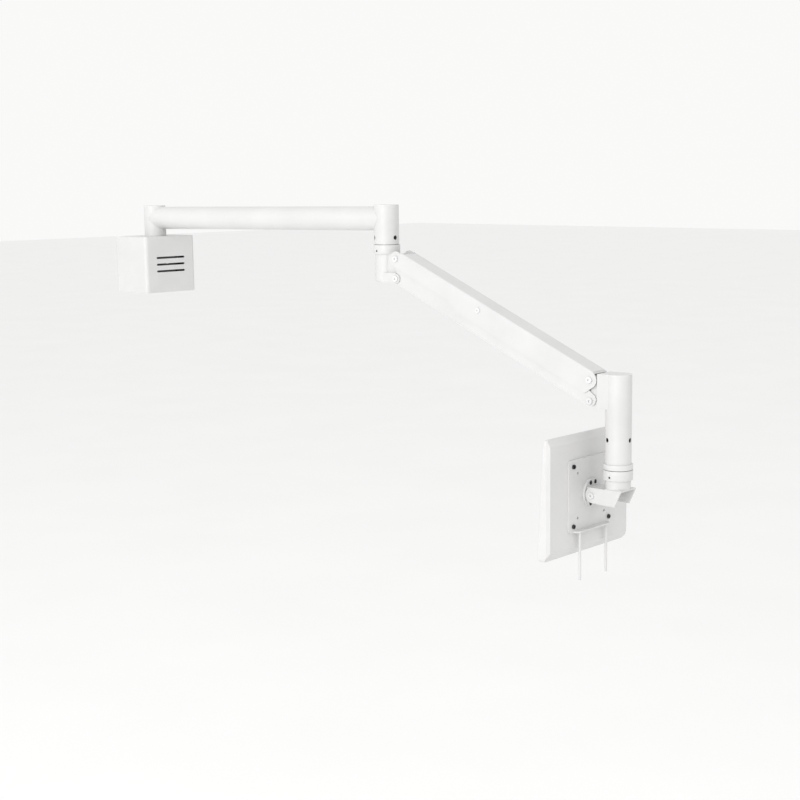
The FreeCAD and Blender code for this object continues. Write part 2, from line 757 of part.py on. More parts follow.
def rounded_rim(base, radius):
    """Fillet on the lower circular edge of a cylinder."""
    doc.recompute()
    lowest = base.Shape.BoundBox.ZMin
    numbers = [n for n, edge in enumerate(base.Shape.Edges, start=1)
               if isinstance(edge.Curve, Part.Circle) and abs(edge.CenterOfMass.z - lowest) < 1e-6]
    fillet = doc.addObject("Part::Fillet", "rim")
    fillet.Base = base
    fillet.Edges = [(n, size(radius), size(radius)) for n in numbers]
    return fillet


def build_pin(at_x, at_z, half_width):
    """Pivot pin across the arm: a socket head on the near side, a plain cap on the far side."""
    bolt = screw((at_x, f"-({half_width})", at_z), "y", 1, "pin_dia", f"2 * ({half_width})",
                 "pin_head_dia", "pin_head_thick", "large_hex_key")
    cap = drum("pin_head_dia / 2", "pin_head_thick", (at_x, half_width, at_z), "y")
    return fuse(bolt, cap)


def build_pivot_washers(at_x, at_z):
    thick = "(cover_width / 2 - cover_wall - tongue_width / 2 - slip)"
    return group(*[ring("2 * (tongue_radius - washer_inset)", "pin_dia", thick, (at_x, y, at_z), "y")
                   for y in ("tongue_width / 2", f"-tongue_width / 2 - {thick}")])


def build_elbow_pins():
    anchor = drum("spring_pin_dia / 2", "tongue_width",
                  ("elbow_offset", "-tongue_width / 2", "-(elbow_drop + spring_anchor)"), "y")
    pins = group(build_pin("elbow_offset", "-elbow_drop", "cover_width / 2 + slip"),
                 build_pin("elbow_offset", f"-{LOWER_PIVOT}", CHEEK_OUTER), anchor)
    node("elbow_pivot_pins", pins, "elbow")
    node("elbow_pivot_washers", build_pivot_washers("elbow_offset", "-elbow_drop"), "elbow")


# ---- spring arm --------------------------------------------------------------

def build_upper_cover():
    start, end = "cover_mouth / 2", "arm_length"
    nose = f"{end} + cover_end_radius - nose_inset"
    outline = profile([(start, "cover_top"), (end, "cover_top"), (nose, "nose_rise"),
                       (f"{nose} + nose_lean", "-cover_end_radius / 2 - nose_chin"),
                       (f"{end} + nose_chin", "-cover_skirt_far"), ("cover_step_end", "-cover_skirt_far"),
                       ("cover_step_end - skirt_ease", "-cover_skirt_far + skirt_round"),
                       ("cover_step_start + skirt_ease", "-cover_skirt_near - skirt_round"),
                       ("cover_step_start", "-cover_skirt_near"), ("-cover_tail", "-cover_skirt_near")],
                      "cover_width")
    eyes = [drum("cover_end_radius", "cover_width", (x, "-cover_width / 2", "0"), "y") for x in ("0", end)]
    top = size("cover_top") - 0.01
    outer = rounded(fuse(outline, *eyes), "cover_bend", "x", lambda middle: middle.z > top)
    inner_width = "(cover_width - 2 * cover_wall)"
    inner_height = "cover_top - cover_wall + 3 * cover_skirt_far"
    hollow = block(("arm_length + 4 * cover_end_radius", inner_width, inner_height),
                   ("-2 * cover_end_radius", f"-{inner_width} / 2", "-3 * cover_skirt_far"))
    bores = [drum("pin_dia / 2 + slip", "2 * cover_width", (x, "-cover_width", "0"), "y") for x in ("0", end)]
    bores.append(drum("spring_pin_dia / 2", "2 * cover_width", ("spring_reach", "-cover_width", "0"), "y"))
    mouth = block(("3 * cover_end_radius", inner_width, "2 * cover_top"),
                  ("cover_mouth - 3 * cover_end_radius", f"-{inner_width} / 2", "0"))
    node("arm_upper_cover", cut(outer, hollow, mouth, *bores), "upper")
    bolt = screw(("spring_reach", "-cover_width / 2", "0"), "y", 1, "spring_pin_dia", "cover_width",
                 "spring_head_dia", "small_head_thick", "hex_key")
    cap = drum("spring_head_dia / 2", "small_head_thick", ("spring_reach", "cover_width / 2", "0"), "y")
    node("spring_pin", fuse(bolt, cap), "upper")


def build_lower_cover():
    end = "arm_length"
    outline = profile([("0", "-link_bottom"), (f"{end} + link_nose", "-link_bottom"),
                       (f"{end} + link_tail", "-link_bevel"), (f"{end} + link_tail", "link_tail - link_bevel"),
                       (f"{end} + link_crown", "link_low - link_nose"), (f"{end} - link_tail", "link_low"),
                       ("link_step_end", "link_low"), ("link_step_start", "link_high"),
                       ("-link_heel", "link_high"), ("-link_heel", "0")], LINK_WIDTH)
    eye = drum("link_end_radius", LINK_WIDTH, ("0", f"-{LINK_WIDTH} / 2", "0"), "y")
    inner = f"({LINK_WIDTH} - 2 * cover_wall)"
    hollow = block(("arm_length + 6 * link_tail", inner, "4 * link_high"),
                   ("-3 * link_tail", f"-{inner} / 2", "cover_wall - link_bottom"))
    open_ends = [block(("4 * link_tail", inner, "4 * link_high"), (x, f"-{inner} / 2", "-2 * link_high"))
                 for x in ("link_mouth_near - 4 * link_tail", f"{end} - link_mouth_far")]
    bores = [drum("pin_dia / 2 + slip", "2 * cover_width", (x, "-cover_width", "0"), "y") for x in ("0", end)]
    node("arm_lower_cover", cut(fuse(outline, eye), hollow, *open_ends, *bores), "lower")


def build_gas_spring():
    half = "-spring_eye_width / 2"
    eye = drum("spring_anchor_eye / 2", "spring_eye_width", ("0", half, "0"), "y")
    neck = drum("spring_dia / 4", "spring_neck", axis="x")
    barrel = drum("spring_dia / 2", "spring_cylinder", ("spring_neck", "0", "0"), "x")
    tools = [drum("spring_pin_dia / 2 + slip", "spring_eye_width", ("0", half, "0"), "y"),
             drum("spring_rod_dia / 2 + slip", "spring_cylinder", ("spring_neck + spring_end", "0", "0"), "x")]
    node("spring_cylinder", cut(fuse(eye, neck, barrel), *tools), "spring")
    rod_start = "(spring_neck + spring_rod_inset)"
    rod = drum("spring_rod_dia / 2", f"{SPRING_LENGTH} - {rod_start}", (rod_start, "0", "0"), "x")
    far_eye = drum("spring_eye_dia / 2", "spring_eye_width", (SPRING_LENGTH, half, "0"), "y")
    play = drum("spring_pin_dia / 2 + spring_eye_play", "spring_eye_width", (SPRING_LENGTH, half, "0"), "y")
    node("spring_rod", cut(fuse(rod, far_eye), play), "spring")


# ---- column ------------------------------------------------------------------

def build_bracket():
    tongue = profile([("0", "tongue_radius"), ("column_offset / 2", "tongue_radius - tongue_fall"),
                      ("column_offset / 2", "-pivot_spacing - tongue_radius"),
                      ("0", "-pivot_spacing - tongue_radius")], "tongue_width")
    eyes = [drum("tongue_radius", "tongue_width", ("0", "-tongue_width / 2", z), "y")
            for z in ("0", "-pivot_spacing")]
    bar = block(("column_offset - bracket_bar", "cover_width", "bracket_top + bracket_bottom"),
                ("bracket_bar", "-cover_width / 2", "-bracket_bottom"))
    tools = [drum("column_dia / 2", "2 * column_length", ("column_offset", "0", "-column_length"))]
    for z in ("0", "-pivot_spacing"):
        tools.append(drum("pin_dia / 2", "2 * cover_width", ("0", "-cover_width", z), "y"))
    node("column_bracket", cut(fuse(tongue, bar, *eyes), *tools), "bracket")
    pins = group(build_pin("0", "0", "cover_width / 2 + slip"),
                 build_pin("0", "-pivot_spacing", f"{LINK_WIDTH} / 2 + slip"))
    node("column_pivot_pins", pins, "bracket")
    node("column_pivot_washers", build_pivot_washers("0", "0"), "bracket")


def build_column():
    foot = f"-{COLUMN_FOOT}"
    holes = build_swivel("column_swivel", "column", "column_dia", foot, "column_bush", "column_key_rise",
                         "column_key_turn")
    body = tube("column_dia", "tube_wall", "column_length - cap_thick", ("0", "0", foot))
    node("column_tube", cut(body, *holes), "column")
    node("column_flange", ring("ring_dia", "column_dia", "column_flange", ("0", "0", foot)), "column")
    build_cap("column_cap", "column_dia", "column_top", "column")


# ---- yoke and tilt joint -----------------------------------------------------

YOKE_INNER = "(yoke_width - 2 * yoke_wall)"
BLOCK_WIDTH = f"({YOKE_INNER} - 2 * friction_thick - 2 * slip)"
PLATE_BACK = "(flange_offset + flange_thick)"
DISPLAY_BACK = f"({PLATE_BACK} + mount_thick)"


def build_yoke():
    outline = profile([("-yoke_front_top", "0"), ("yoke_top_end", "0"),
                       ("yoke_top_end + yoke_step", "-yoke_step"), ("yoke_reach", "-yoke_step"),
                       ("yoke_reach", "-tilt_drop - yoke_end_radius"),
                       ("-yoke_front_bottom", "-2 * tilt_drop")], "yoke_width")
    end = drum("yoke_end_radius", "yoke_width", ("yoke_reach", "-yoke_width / 2", "-tilt_drop"), "y")
    outer = rounded(fuse(outline, end), "yoke_wall", "x", lambda middle: middle.z > -0.01)
    under = block(("3 * yoke_reach", YOKE_INNER, "3 * tilt_drop"),
                  ("-yoke_reach", f"-{YOKE_INNER} / 2", "-yoke_wall - 3 * tilt_drop"))
    front = block(("2 * yoke_reach", YOKE_INNER, "2 * tilt_drop"),
                  ("yoke_top_end", f"-{YOKE_INNER} / 2", "-tilt_drop"))
    bolt = drum("tilt_bolt_dia / 2", "2 * yoke_width", ("yoke_reach", "-yoke_width", "-tilt_drop"), "y")
    seat = drum("swivel_bore / 2", "2 * yoke_wall", ("0", "0", "-2 * yoke_wall"))
    node("yoke", cut(outer, under, front, bolt, seat), "head")


def build_head_shaft():
    FRAMES["head_shaft"] = FRAMES["column"].multiply(turned("z", "head_turn"))
    build_shaft("head", "head_shaft", f"-{COLUMN_FOOT}", "column_bush", "stub_length", "head_ring_turn")
    bolt = screw(("0", "0", "-yoke_wall"), "z", 1, "swivel_bore", "yoke_wall + stub_length",
                 "stub_screw_head", "stub_screw_head_thick", "stub_hex_key")
    node("stub_screw", bolt, "head")


def build_tilt_joint():
    bolt = screw(("yoke_reach", "yoke_width / 2", "-tilt_drop"), "y", -1, "tilt_bolt_dia", "yoke_width",
                 "tilt_head_dia", "tilt_head_thick", "large_hex_key")
    nut = hexagon("tilt_head_dia", "tilt_head_thick",
                  ("yoke_reach", "-yoke_width / 2 - tilt_head_thick", "-tilt_drop"), "y")
    node("tilt_bolt", fuse(bolt, nut), "head")
    inner = f"{YOKE_INNER} / 2"
    washers = [ring("friction_dia", "tilt_bolt_dia", "friction_thick", ("yoke_reach", y, "-tilt_drop"), "y")
               for y in (f"-{inner}", f"{inner} - friction_thick")]
    node("friction_washers", group(*washers), "head")
    half = f"-{BLOCK_WIDTH} / 2"
    barrel = drum("block_radius", BLOCK_WIDTH, ("0", half, "0"), "y")
    face = block(("flange_offset - gap", BLOCK_WIDTH, "2 * block_radius"), ("0", half, "-block_radius"))
    spindle = drum("spindle_dia / 2", "flange_offset + flange_thick", axis="x")
    tools = [drum("tilt_bolt_dia / 2 + slip", "yoke_width", ("0", "-yoke_width / 2", "0"), "y"),
             drum("keeper_dia / 2", "keeper_depth", (f"{PLATE_BACK} - keeper_depth", "0", "0"), "x")]
    node("tilt_block", cut(fuse(barrel, face, spindle), *tools), "tilt")
    washer = ring("mount_window - 2 * window_play", "keeper_dia", "spindle_washer_thick",
                  (PLATE_BACK, "0", "0"), "x")
    node("spindle_washer", washer, "tilt")
    keeper = screw((f"{PLATE_BACK} + spindle_washer_thick", "0", "0"), "x", -1, "keeper_dia",
                   "keeper_depth + spindle_washer_thick", "keeper_head_dia", "keeper_head_thick", "hex_key")
    node("spindle_screw", keeper, "tilt")


# ---- mounting plate and rods -------------------------------------------------

flange_screws = [(f"{sy}flange_screw_x", f"{sz}flange_screw_z") for sy in ("-", "") for sz in ("-", "")]


def square(pitch):
    return [(f"{sy}{pitch} / 2", f"{sz}{pitch} / 2") for sy in ("-", "") for sz in ("-", "")]


def build_flange():
    disc = drum("flange_dia / 2", "flange_thick - slip", ("flange_offset", "0", "0"), "x")
    tools = [drum("spindle_dia / 2 + slip", "2 * flange_thick", ("flange_offset", "0", "0"), "x")]
    for y, z in flange_screws:
        tools.append(drum("small_screw_dia / 2", "flange_thick", ("flange_offset", y, z), "x"))
        tools.append(drum("small_head_dia / 2", "small_head_thick", ("flange_offset", y, z), "x"))
    node("rotation_flange", cut(disc, *tools), "tilt")
    bolts = [screw(("flange_offset + small_head_thick", y, z), "x", 1, "small_screw_dia",
                   "flange_thick - small_head_thick + mount_thick", "small_head_dia", "small_head_thick",
                   "hex_key") for y, z in flange_screws]
    node("flange_screws", group(*bolts), "tilt")


def build_mounting_plate():
    sheet_plate = block(("mount_thick", "mount_width", "mount_height"),
                        (PLATE_BACK, "-mount_width / 2", "-mount_height / 2"))
    sheet_plate = rounded(sheet_plate, "mount_corner", "x")
    lip_edge = f"{PLATE_BACK} - lip_depth"
    lip = profile([(DISPLAY_BACK, "-lip_base / 2"), (PLATE_BACK, "-lip_base / 2"),
                   (lip_edge, "-lip_front / 2"), (lip_edge, "lip_front / 2"),
                   (PLATE_BACK, "lip_base / 2"), (DISPLAY_BACK, "lip_base / 2")],
                  "mount_thick", "XY_Plane", ("0", "0", "(mount_thick - mount_height) / 2"))
    tools = [drum("mount_window / 2", "2 * mount_thick", (PLATE_BACK, "0", "0"), "x")]
    for pitch in ("vesa_pitch", "vesa_small_pitch"):
        for y, z in square(pitch):
            tools.append(drum("vesa_hole_dia / 2", "2 * mount_thick", (PLATE_BACK, y, z), "x"))
    for y, z in flange_screws:
        tools.append(drum("small_screw_dia / 2", "2 * mount_thick", (PLATE_BACK, y, z), "x"))
    rod_x = f"{PLATE_BACK} - rod_stand_off"
    rods = []
    for y in ("-rod_spacing / 2", "rod_spacing / 2"):
        tools.append(drum("rod_dia / 2", "2 * mount_thick",
                          (rod_x, y, "-mount_height / 2 - mount_thick / 2")))
        rods.append(drum("rod_dia / 2", "rod_length",
                         (rod_x, y, "-mount_height / 2 + mount_thick - rod_length")))
    node("mounting_plate", cut(fuse(sheet_plate, lip), *tools), "tilt")
    node("hanger_rods", group(*rods), "tilt")
    grip = "mount_thick + shell_wall + boss_height - screw_tip_gap"
    bolts = [screw((PLATE_BACK, y, z), "x", 1, "small_screw_dia", grip,
                   "small_head_dia", "small_head_thick", "hex_key") for y, z in square("vesa_pitch")]
    node("vesa_screws", group(*bolts), "tilt")


# ---- display -----------------------------------------------------------------

HALF_W = "display_width / 2"
HALF_H = "display_height / 2"


def front(height, depth="0"):
    """Distance from the display's back face to a plane behind its leaning front."""
    lean = f"(front_bottom - front_top) * (display_height / 2 - ({height})) / display_height"
    return f"(front_top + {lean} - ({depth}))"


def display_profile(points, width):
    return profile(points, width, "XZ_Plane", (DISPLAY_BACK, "0", "display_lift"))


def display_block(x, extent_x, half_y, low_z, high_z):
    return block((extent_x, f"2 * ({half_y})", f"({high_z}) - ({low_z})"),
                 (f"{DISPLAY_BACK} + {x}", f"-({half_y})", f"display_lift + ({low_z})"))


def display_edge():
    """Prism with the display's rounded outline, longer than the display is deep."""
    prism = display_block("0", "2 * front_bottom", HALF_W, f"-{HALF_H}", HALF_H)
    return rounded(prism, "display_corner", "x")


def build_rear_shell():
    rim_top, rim_bottom = "front_top - bezel_thick", "front_bottom - bezel_thick"
    body = display_profile([("0", f"back_bottom_bevel - {HALF_H}"), ("0", f"{HALF_H} - back_top_bevel"),
                            ("top_rim_start", HALF_H), (rim_top, HALF_H), (rim_bottom, f"-{HALF_H}"),
                            ("bottom_rim_start", f"-{HALF_H}")], "display_width")
    body = common(body, display_edge())
    tools = []
    for side in (1, -1):
        edge = f"({side} * (display_width / 2 + 1))"
        start = f"({side} * (display_width / 2 - back_side_bevel - 1))"
        tools.append(profile([("-side_bevel_depth / back_side_bevel", start), ("side_bevel_depth * 1.2", edge),
                              ("-side_bevel_depth / back_side_bevel", edge)],
                             "1.1 * display_height", "XY_Plane", (DISPLAY_BACK, "0", "display_lift")))
    inner_low, inner_high = f"shell_wall - {HALF_H}", f"{HALF_H} - shell_wall"
    tools.append(display_profile(
        [("shell_wall", f"back_bottom_bevel - {HALF_H} + bevel_wall"),
         ("shell_wall", f"{HALF_H} - back_top_bevel - bevel_wall"),
         ("top_rim_start + top_rim_wall", inner_high), ("2 * front_bottom", inner_high),
         ("2 * front_bottom", inner_low), ("bottom_rim_start + bottom_rim_wall", inner_low)],
        "display_width - 2 * (back_side_bevel + bevel_wall)"))
    tools.append(display_block("bottom_rim_start + shell_wall", "front_bottom", f"{HALF_W} - shell_wall",
                               f"shell_wall - {HALF_H}", f"{HALF_H} - display_corner"))
    shell = cut(body, *tools)
    bosses, holes = [], []
    for y, z in square("vesa_pitch"):
        bosses.append(drum("boss_dia / 2", "boss_height + shell_wall / 2",
                           (f"{DISPLAY_BACK} + shell_wall / 2", y, z), "x"))
        holes.append(drum("small_screw_dia / 2", "shell_wall + boss_height", (DISPLAY_BACK, y, z), "x"))
    node("rear_shell", cut(fuse(shell, *bosses), *holes), "tilt")


def build_bezel():
    foot = f"-{HALF_H}"
    body = display_profile([(front(HALF_H, "bezel_thick"), HALF_H), (front(HALF_H), HALF_H),
                            (front(foot), foot), (front(foot, "bezel_thick"), foot)], "display_width")
    window = display_block("0", "2 * front_bottom", f"{HALF_W} - bezel_margin", f"chin_margin - {HALF_H}",
                           f"{HALF_H} - top_margin")
    hole = drum("button_dia / 2 + gap", "2 * front_bottom",
                (DISPLAY_BACK, "-button_reach", f"display_lift - {HALF_H} + chin_margin / 2"), "x")
    node("front_bezel", cut(common(body, display_edge()), window, hole), "tilt")


def build_screen():
    high, low = f"({HALF_H} - top_margin)", f"(chin_margin - {HALF_H})"
    face = "bezel_thick - glass_thick"
    glass = display_profile([(front(high, "bezel_thick"), high), (front(high, face), high),
                             (front(low, face), low), (front(low, "bezel_thick"), low)],
                            "display_width - 2 * (bezel_margin + glass_play)")
    node("screen_glass", group(glass), "tilt")
    high, low = f"({HALF_H} - top_margin + panel_lap)", f"(chin_margin - {HALF_H} - panel_lap)"
    back = "bezel_thick + panel_thick"
    panel = display_profile([(front(high, back), high), (front(high, "bezel_thick"), high),
                             (front(low, "bezel_thick"), low), (front(low, back), low)],
                            "display_width - 2 * (bezel_margin - panel_side_lap)")
    node("lcd_panel", group(panel), "tilt")
    board = display_block("shell_wall + boss_height", "board_thick", "board_width / 2",
                          "-board_drop - board_height / 2", "board_height / 2 - board_drop")
    node("driver_board", group(board), "tilt")


def build_button():
    height = f"(chin_margin / 2 - {HALF_H})"
    at_z = f"display_lift + {height}"
    face = f"({DISPLAY_BACK} + {front(height)})"
    inner_end = (f"{face} - bezel_thick - button_inset", "-button_reach", at_z)
    stem = drum("button_dia / 2", "bezel_thick + button_proud + button_inset", inner_end, "x")
    skirt = drum("button_dia / 2 + button_rim", "button_skirt", inner_end, "x")
    node("power_button", fuse(stem, skirt), "tilt")


# ---- assembly ----------------------------------------------------------------

build_wall_plate()
build_box_shell()
build_box_fasteners()
build_housing()
build_post_bushes()
build_box_electrics()
build_post()
build_boom()
build_elbow_sleeve()
build_shaft("knuckle", "elbow", "-sleeve_bottom", "elbow_bush", "swivel_root", "elbow_ring_turn")
build_knuckle()
build_elbow_pins()
build_upper_cover()
build_lower_cover()
build_gas_spring()
build_bracket()
build_column()
build_yoke()
build_head_shaft()
build_tilt_joint()
build_flange()
build_mounting_plate()
build_rear_shell()
build_bezel()
build_screen()
build_button()

doc.recompute()
for item in doc.Objects:
    if "Invalid" in item.State or "Error" in item.State:
        raise RuntimeError(f"{item.Name} failed: {item.State}")
for name, item in NODES.items():
    if item.Shape.isNull() or not item.Shape.isValid() or not item.Shape.Solids:
        raise RuntimeError(f"{name} has no valid solid")
    item.Shape.exportStep(f"parts/{name}.step")
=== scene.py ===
import json
import math

import bmesh
import bpy
from mathutils import Matrix, Vector


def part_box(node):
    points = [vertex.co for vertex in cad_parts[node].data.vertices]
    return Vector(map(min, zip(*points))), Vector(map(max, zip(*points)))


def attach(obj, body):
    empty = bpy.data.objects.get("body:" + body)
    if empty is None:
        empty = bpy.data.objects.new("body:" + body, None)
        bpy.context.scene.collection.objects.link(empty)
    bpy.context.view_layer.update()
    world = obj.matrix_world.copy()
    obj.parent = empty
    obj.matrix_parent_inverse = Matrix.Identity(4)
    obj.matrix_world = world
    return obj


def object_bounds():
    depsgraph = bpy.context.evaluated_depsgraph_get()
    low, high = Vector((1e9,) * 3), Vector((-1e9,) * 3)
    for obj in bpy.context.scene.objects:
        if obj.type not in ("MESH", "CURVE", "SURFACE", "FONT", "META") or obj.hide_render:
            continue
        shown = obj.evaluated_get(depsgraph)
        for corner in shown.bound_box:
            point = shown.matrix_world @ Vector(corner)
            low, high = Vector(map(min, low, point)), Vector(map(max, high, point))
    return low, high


# Looks for a wall-mounted arm that carries a small display. Lengths are in metres, and
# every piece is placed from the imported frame.

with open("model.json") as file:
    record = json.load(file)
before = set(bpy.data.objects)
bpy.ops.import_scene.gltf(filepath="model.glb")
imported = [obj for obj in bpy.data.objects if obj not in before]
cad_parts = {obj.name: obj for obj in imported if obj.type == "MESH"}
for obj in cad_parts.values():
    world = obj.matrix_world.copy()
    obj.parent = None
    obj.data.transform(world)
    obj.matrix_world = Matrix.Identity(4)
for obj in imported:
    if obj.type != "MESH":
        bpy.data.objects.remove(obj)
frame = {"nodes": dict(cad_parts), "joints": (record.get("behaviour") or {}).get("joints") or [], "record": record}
cad_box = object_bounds()
NODES = frame["nodes"]
JOINTS = {joint["name"]: joint for joint in frame["joints"]}
SLOTS = {entry["node"]: entry["material_slot"] for entry in frame["record"]["subparts"]}
UP = Vector((0, 0, 1))


# ---- materials ---------------------------------------------------------------

DRIFT_DETAIL = 3.0
GRAIN_DETAIL = 2.0
GRAIN_STRENGTH = 0.35
PATCH_TO_GRAIN = 4       # patches of uneven roughness are this much larger than the grain


def shader(name, roughness, metallic=0.0, specular=0.5, coat=0.0, coat_roughness=0.1):
    """A node material with its principled shader ready for detail."""
    material = bpy.data.materials.new(name)
    material.use_nodes = True
    tree = material.node_tree
    tree.nodes.clear()
    output = tree.nodes.new("ShaderNodeOutputMaterial")
    surface = tree.nodes.new("ShaderNodeBsdfPrincipled")
    tree.links.new(surface.outputs["BSDF"], output.inputs["Surface"])
    surface.inputs["Roughness"].default_value = roughness
    surface.inputs["Metallic"].default_value = metallic
    surface.inputs["Specular IOR Level"].default_value = specular
    surface.inputs["Coat Weight"].default_value = coat
    surface.inputs["Coat Roughness"].default_value = coat_roughness
    return material, tree, surface


def place(tree, stretch):
    """Object coordinates, in metres, stretched along an axis for a brushed grain."""
    where = tree.nodes.new("ShaderNodeTexCoord")
    mapping = tree.nodes.new("ShaderNodeMapping")
    mapping.inputs["Scale"].default_value = stretch
    tree.links.new(where.outputs["Object"], mapping.inputs["Vector"])
    return mapping.outputs["Vector"]


def noise(tree, vector, scale, detail=DRIFT_DETAIL):
    texture = tree.nodes.new("ShaderNodeTexNoise")
    texture.inputs["Scale"].default_value = scale
    texture.inputs["Detail"].default_value = detail
    tree.links.new(vector, texture.inputs["Vector"])
    return texture.outputs["Fac"]


def ramp(tree, value, low, high, start=0.3, end=0.7):
    """Maps a noise value onto a colour or grey between two given ones."""
    node = tree.nodes.new("ShaderNodeValToRGB")
    node.color_ramp.elements[0].position = start
    node.color_ramp.elements[0].color = (*low, 1)
    node.color_ramp.elements[1].position = end
    node.color_ramp.elements[1].color = (*high, 1)
    tree.links.new(value, node.inputs["Fac"])
    return node.outputs["Color"]


def bump(tree, surface, height, strength, distance):
    node = tree.nodes.new("ShaderNodeBump")
    node.inputs["Strength"].default_value = strength
    node.inputs["Distance"].default_value = distance
    tree.links.new(height, node.inputs["Height"])
    tree.links.new(node.outputs["Normal"], surface.inputs["Normal"])


def grained(name, low, high, roughness, grain, depth, cloud=18, stretch=(1, 1, 1), spread=0.06, **more):
    """Material with slow colour drift, varying roughness and a fine grain in relief."""
    material, tree, surface = shader(name, roughness, **more)
    vector = place(tree, stretch)
    drift = noise(tree, vector, cloud)
    tree.links.new(ramp(tree, drift, low, high), surface.inputs["Base Color"])
    patches = noise(tree, vector, grain / PATCH_TO_GRAIN)
    smoother, rougher = (roughness - spread,) * 3, (roughness + spread,) * 3
    tree.links.new(ramp(tree, patches, smoother, rougher), surface.inputs["Roughness"])
    bump(tree, surface, noise(tree, vector, grain, GRAIN_DETAIL), GRAIN_STRENGTH, depth)
    return material


def grey(value, warm=0.0):
    return (value + warm, value, value - warm)


# One finish for each material slot in the record. grain and cloud are in waves per metre,
# depth is the height of the grain.
FINISHES = {
    "white_powder_coat": dict(low=grey(0.605, 0.002), high=grey(0.64, 0.002), roughness=0.42,
                              grain=900, depth=0.00006, coat=0.12, coat_roughness=0.3),
    "white_plastic": dict(low=grey(0.63, 0.003), high=grey(0.66, 0.003), roughness=0.5,
                          grain=2200, depth=0.00004),
    "bright_steel": dict(low=grey(0.55), high=grey(0.66), roughness=0.3,
                         grain=1500, depth=0.00002, metallic=1.0, stretch=(1, 1, 8)),
    "white_capped_steel": dict(low=grey(0.64), high=grey(0.72), roughness=0.35,
                               grain=1100, depth=0.00003, coat=0.2),
    "dark_steel": dict(low=grey(0.02), high=grey(0.045), roughness=0.42,
                       grain=1800, depth=0.00003, metallic=0.6),
    "bearing_plastic": dict(low=grey(0.6, 0.02), high=grey(0.68, 0.02), roughness=0.5,
                            grain=1600, depth=0.00003),
    "grommet_rubber": dict(low=grey(0.02), high=grey(0.04), roughness=0.7,
                           grain=1200, depth=0.00006),
    "supply_case": dict(low=grey(0.5), high=grey(0.6), roughness=0.38,
                        grain=900, depth=0.00003, metallic=1.0, stretch=(1, 1, 20)),
    "black_cylinder": dict(low=grey(0.012), high=grey(0.025), roughness=0.25,
                           grain=800, depth=0.00002, coat=0.4),
    "screen_glass": dict(low=grey(0.012), high=grey(0.02), roughness=0.16,
                         grain=3000, depth=0.000005, spread=0.03, coat=0.5),
    "panel_black": dict(low=grey(0.01), high=grey(0.02), roughness=0.5,
                        grain=1500, depth=0.00002),
    "board_green": dict(low=(0.01, 0.10, 0.035), high=(0.02, 0.15, 0.05), roughness=0.4,
                        grain=700, depth=0.00008),
    "cast_housing": dict(low=grey(0.18), high=grey(0.26), roughness=0.6,
                         grain=500, depth=0.00015, metallic=0.7),
}
MATERIALS = {name: grained(name, **finish) for name, finish in FINISHES.items()}

# These screws get a darker steel than the one their slot names. That is painted shade: the screws are plain bright
# steel, and the dark steel stands in for the shade on their heads and sockets.
SHADE_PAINTED_SCREWS = ("elbow_key_screws", "column_swivel_key_screws", "vesa_screws")
# painted shade: the screws listed above get dark steel in place of their own bright steel
LOOKS = {**SLOTS, **{name: "dark_steel" for name in SHADE_PAINTED_SCREWS}}

for name, piece in NODES.items():
    piece.data.materials.clear()
    piece.data.materials.append(MATERIALS[LOOKS[name]])


# ---- rounded edges -----------------------------------------------------------

EDGE_ANGLE = math.radians(35)
EDGE_SEGMENTS = 2
MERGE_DISTANCE = 1e-6

EDGES = {
    0.0006: ("knuckle_ring", "head_ring", "column_flange", "column_cap", "elbow_cap", "post_cap",
             "front_bezel"),
    0.0005: ("hanger_rods",),
    0.0004: ("elbow_pivot_pins", "column_pivot_pins", "power_button"),
}


def soften(piece, width):
    """Small rounded edges that catch the light, without a change to the mesh itself."""
    weld = piece.modifiers.new("weld", "WELD")
    weld.merge_threshold = MERGE_DISTANCE
    edge = piece.modifiers.new("edge", "BEVEL")
    edge.limit_method = "ANGLE"
    edge.angle_limit = EDGE_ANGLE
    edge.width = width
    edge.segments = EDGE_SEGMENTS
    edge.harden_normals = False
    edge.use_clamp_overlap = True


for width, names in EDGES.items():
    for name in names:
        soften(NODES[name], width)


# ---- weld beads --------------------------------------------------------------

WELD_STEPS, WELD_SIDES = 160, 10
WELD_RADIUS = 0.0011
WELD_SINK = 0.0006       # how far the bead's centre line lies inside the level tube
RIPPLES, RIPPLE_HEIGHT = 40, 0.10


def saddle(centre, along, tube_radius, post_radius):
    """Closed curve where a level tube meets the outside of an upright one."""
    side = UP.cross(along)
    points = []
    for index in range(WELD_STEPS):
        angle = 2 * math.pi * index / WELD_STEPS
        across, height = tube_radius * math.cos(angle), tube_radius * math.sin(angle)
        reach = math.sqrt(max(post_radius ** 2 - across ** 2, 0))
        points.append(centre + across * side + height * UP + reach * along)
    return points


def weld_bead(name, body, centre, tube_radius, post_radius, along):
    """Rippled bead along the saddle curve."""
    path = saddle(centre, along.normalized(), tube_radius, post_radius)
    turns = [2 * math.pi * k / WELD_SIDES for k in range(WELD_SIDES)]
    bm = bmesh.new()
    rings = []
    for index, point in enumerate(path):
        onward = (path[(index + 1) % WELD_STEPS] - path[index - 1]).normalized()
        out = (point - centre).normalized()
        first = onward.cross(out).normalized()
        second = first.cross(onward)
        ripple = math.sin(2 * math.pi * index * RIPPLES / WELD_STEPS)
        radius = WELD_RADIUS * (1 + RIPPLE_HEIGHT * ripple)
        rings.append([bm.verts.new(point + radius * (math.cos(t) * first + math.sin(t) * second))
                      for t in turns])
    for index in range(WELD_STEPS):
        near, far = rings[index], rings[(index + 1) % WELD_STEPS]
        for k in range(WELD_SIDES):
            after = (k + 1) % WELD_SIDES
            face = bm.faces.new((near[k], near[after], far[after], far[k]))
            face.smooth = True
    bmesh.ops.recalc_face_normals(bm, faces=bm.faces)
    mesh = bpy.data.meshes.new(name)
    bm.to_mesh(mesh)
    bm.free()
    piece = bpy.data.objects.new(name, mesh)
    bpy.context.scene.collection.objects.link(piece)
    mesh.materials.append(MATERIALS["white_powder_coat"])
    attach(piece, body)


